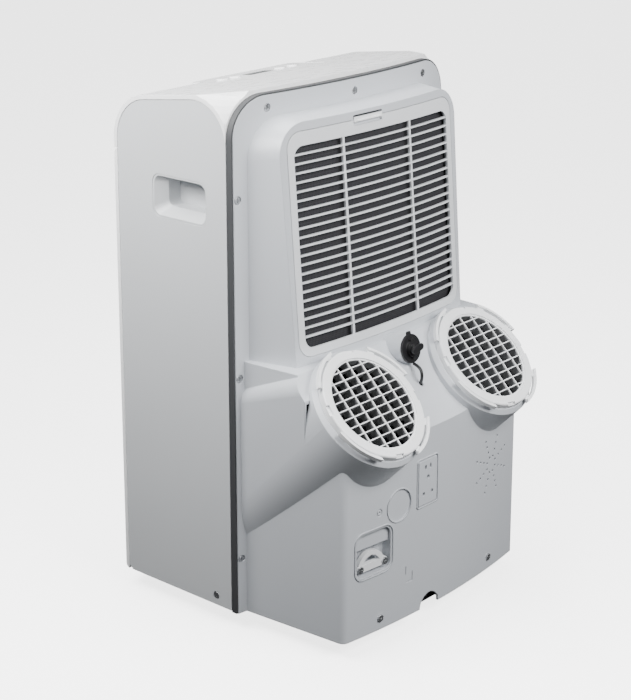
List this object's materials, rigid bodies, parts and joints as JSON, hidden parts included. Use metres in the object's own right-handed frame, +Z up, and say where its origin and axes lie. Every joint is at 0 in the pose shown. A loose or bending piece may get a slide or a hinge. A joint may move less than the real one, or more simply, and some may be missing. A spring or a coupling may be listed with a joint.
{
  "type": "portable air conditioner",
  "caption": "Portable air conditioner on casters, seen with twin angled hose ports, a slatted filter door and side hand grips.",
  "frame": {"origin": "on the floor under the middle of the cabinet", "axes": "+Z up, +Y towards the rear with the hose ports, +X towards the left side as the rear is looked at"},
  "size_m": [0.406, 0.4282, 0.6813],
  "materials": {
    "white_plastic": "semi-gloss moulded",
    "grey_plastic": "fine matt moulded",
    "panel_plastic": "satin moulded",
    "dark_rubber": "matt",
    "black_plastic": "matt",
    "filter_mesh": "fine woven mesh",
    "grille_plastic": "satin",
    "fin_aluminium": "bare fins",
    "copper_tube": "drawn tube",
    "black_enamel": "gloss enamel",
    "zinc_steel": "zinc plated",
    "wheel_nylon": "satin"
  },
  "bodies": {
    "cabinet": {"accumulator": "black_enamel", "air_filter": "filter_mesh", "base_pan": "black_plastic", "body_gasket": "dark_rubber", "casing_screws": "zinc_steel", "compressor": "black_enamel", "compressor_feet": "dark_rubber", "condenser_coil": "fin_aluminium", "condenser_motor": "zinc_steel", "condenser_scroll": "black_plastic", "control_box": "zinc_steel", "control_panel": "white_plastic", "cord_cleat": "grey_plastic", "cord_pocket": "grey_plastic", "display_window": "black_plastic", "divider_deck": "black_plastic", "drain_stub": "grey_plastic", "evaporator_coil": "fin_aluminium", "evaporator_motor": "zinc_steel", "evaporator_scroll": "black_plastic", "front_panel": "white_plastic", "handle_cup_left": "panel_plastic", "handle_cup_right": "panel_plastic", "port_collar_left": "white_plastic", "port_collar_right": "white_plastic", "port_grille_left": "grille_plastic", "port_grille_right": "grille_plastic", "rear_housing": "grey_plastic", "refrigerant_pipes": "copper_tube", "side_panel_left": "panel_plastic", "side_panel_right": "panel_plastic", "top_cover": "white_plastic", "caster_sockets": "black_plastic"},
    "swivel_fl": {"caster_fork_fl": "zinc_steel"},
    "wheel_fl": {"caster_wheel_fl": "wheel_nylon"},
    "swivel_fr": {"caster_fork_fr": "zinc_steel"},
    "wheel_fr": {"caster_wheel_fr": "wheel_nylon"},
    "swivel_rl": {"caster_fork_rl": "zinc_steel"},
    "wheel_rl": {"caster_wheel_rl": "wheel_nylon"},
    "swivel_rr": {"caster_fork_rr": "zinc_steel"},
    "wheel_rr": {"caster_wheel_rr": "wheel_nylon"},
    "louvre_1": {"louvre_1": "white_plastic"},
    "louvre_2": {"louvre_2": "white_plastic"},
    "louvre_3": {"louvre_3": "white_plastic"},
    "vane_1": {"vane_1": "white_plastic"},
    "vane_2": {"vane_2": "white_plastic"},
    "vane_3": {"vane_3": "white_plastic"},
    "vane_4": {"vane_4": "white_plastic"},
    "vane_link": {"vane_link": "white_plastic"},
    "filter_door": {"filter_door": "white_plastic"},
    "filter_latch": {"filter_latch": "white_plastic"},
    "drain_plug": {"drain_plug": "dark_rubber", "drain_strap": "dark_rubber"},
    "tray_plug": {"tray_drain_plug": "dark_rubber"},
    "power_button": {"power_button": "white_plastic"},
    "mode_button": {"mode_button": "white_plastic"},
    "up_button": {"up_button": "white_plastic"},
    "down_button": {"down_button": "white_plastic"},
    "evaporator_fan": {"evaporator_fan": "black_plastic"},
    "condenser_fan": {"condenser_fan": "black_plastic"}
  },
  "joints": [
    {"name": "swivel_fl", "type": "hinge", "parent": "cabinet", "child": "swivel_fl", "pos_m": [0.154, -0.138, 0.037], "axis": [0, 0, 1], "continuous": true},
    {"name": "roll_fl", "type": "hinge", "parent": "swivel_fl", "child": "wheel_fl", "pos_m": [0.154, -0.127, 0.016], "axis": [1, 0, 0], "continuous": true},
    {"name": "swivel_fr", "type": "hinge", "parent": "cabinet", "child": "swivel_fr", "pos_m": [-0.154, -0.138, 0.037], "axis": [0, 0, 1], "continuous": true},
    {"name": "roll_fr", "type": "hinge", "parent": "swivel_fr", "child": "wheel_fr", "pos_m": [-0.154, -0.127, 0.016], "axis": [1, 0, 0], "continuous": true},
    {"name": "swivel_rl", "type": "hinge", "parent": "cabinet", "child": "swivel_rl", "pos_m": [0.126, 0.104, 0.037], "axis": [0, 0, 1], "continuous": true},
    {"name": "roll_rl", "type": "hinge", "parent": "swivel_rl", "child": "wheel_rl", "pos_m": [0.126, 0.115, 0.016], "axis": [1, 0, 0], "continuous": true},
    {"name": "swivel_rr", "type": "hinge", "parent": "cabinet", "child": "swivel_rr", "pos_m": [-0.126, 0.104, 0.037], "axis": [0, 0, 1], "continuous": true},
    {"name": "roll_rr", "type": "hinge", "parent": "swivel_rr", "child": "wheel_rr", "pos_m": [-0.126, 0.115, 0.016], "axis": [1, 0, 0], "continuous": true},
    {"name": "louvre_tilt_1", "type": "hinge", "parent": "cabinet", "child": "louvre_1", "pos_m": [0, -0.187, 0.497], "axis": [1, 0, 0], "range_deg": [-40, 40]},
    {"name": "louvre_tilt_2", "type": "hinge", "parent": "cabinet", "child": "louvre_2", "pos_m": [0, -0.187, 0.523], "axis": [1, 0, 0], "range_deg": [-40, 40]},
    {"name": "louvre_tilt_3", "type": "hinge", "parent": "cabinet", "child": "louvre_3", "pos_m": [0, -0.187, 0.549], "axis": [1, 0, 0], "range_deg": [-40, 40]},
    {"name": "vane_turn_1", "type": "hinge", "parent": "cabinet", "child": "vane_1", "pos_m": [-0.105, -0.158, 0.523], "axis": [0, 0, 1], "range_deg": [-30, 30]},
    {"name": "vane_turn_2", "type": "hinge", "parent": "cabinet", "child": "vane_2", "pos_m": [-0.035, -0.158, 0.523], "axis": [0, 0, 1], "range_deg": [-30, 30]},
    {"name": "vane_turn_3", "type": "hinge", "parent": "cabinet", "child": "vane_3", "pos_m": [0.035, -0.158, 0.523], "axis": [0, 0, 1], "range_deg": [-30, 30]},
    {"name": "vane_turn_4", "type": "hinge", "parent": "cabinet", "child": "vane_4", "pos_m": [0.105, -0.158, 0.523], "axis": [0, 0, 1], "range_deg": [-30, 30]},
    {"name": "vane_link_slide", "type": "slide", "parent": "cabinet", "child": "vane_link", "axis": [1, 0, 0], "range_m": [-0.0055, 0.0055]},
    {"name": "filter_door_tilt", "type": "hinge", "parent": "cabinet", "child": "filter_door", "pos_m": [0, 0.0875, 0.3605], "axis": [-1, 0, 0], "range_deg": [0, 24]},
    {"name": "filter_latch_slide", "type": "slide", "parent": "filter_door", "child": "filter_latch", "axis": [0, 0, -1], "range_m": [0, 0.003], "stiffness_N_per_m": 150, "springref_m": -0.002},
    {"name": "drain_plug_pull", "type": "slide", "parent": "cabinet", "child": "drain_plug", "axis": [0, 0.9781, 0.2079], "range_m": [0, 0.03], "deforming": ["drain_strap"]},
    {"name": "tray_plug_pull", "type": "slide", "parent": "cabinet", "child": "tray_plug", "axis": [0, 0, -1], "range_m": [0, 0.012]},
    {"name": "power_press", "type": "slide", "parent": "cabinet", "child": "power_button", "axis": [0, 0.127, -0.9919], "range_m": [0, 0.0012], "stiffness_N_per_m": 400, "springref_m": -0.0006},
    {"name": "mode_press", "type": "slide", "parent": "cabinet", "child": "mode_button", "axis": [0, 0.127, -0.9919], "range_m": [0, 0.0012], "stiffness_N_per_m": 400, "springref_m": -0.0006},
    {"name": "up_press", "type": "slide", "parent": "cabinet", "child": "up_button", "axis": [0, 0.127, -0.9919], "range_m": [0, 0.0012], "stiffness_N_per_m": 400, "springref_m": -0.0006},
    {"name": "down_press", "type": "slide", "parent": "cabinet", "child": "down_button", "axis": [0, 0.127, -0.9919], "range_m": [0, 0.0012], "stiffness_N_per_m": 400, "springref_m": -0.0006},
    {"name": "evaporator_fan_spin", "type": "hinge", "parent": "cabinet", "child": "evaporator_fan", "pos_m": [0, -0.062, 0.44], "axis": [0, 1, 0], "continuous": true},
    {"name": "condenser_fan_spin", "type": "hinge", "parent": "cabinet", "child": "condenser_fan", "pos_m": [-0.092, -0.03, 0.178], "axis": [0, 1, 0], "continuous": true}
  ],
  "couplings": [
    {"joint": "louvre_tilt_2", "follows": "louvre_tilt_1", "ratio": 1},
    {"joint": "louvre_tilt_3", "follows": "louvre_tilt_1", "ratio": 1},
    {"joint": "vane_turn_2", "follows": "vane_turn_1", "ratio": 1},
    {"joint": "vane_turn_3", "follows": "vane_turn_1", "ratio": 1},
    {"joint": "vane_turn_4", "follows": "vane_turn_1", "ratio": 1},
    {"joint": "vane_link_slide", "follows": "vane_turn_1", "m_per_rad": -0.009}
  ]
}
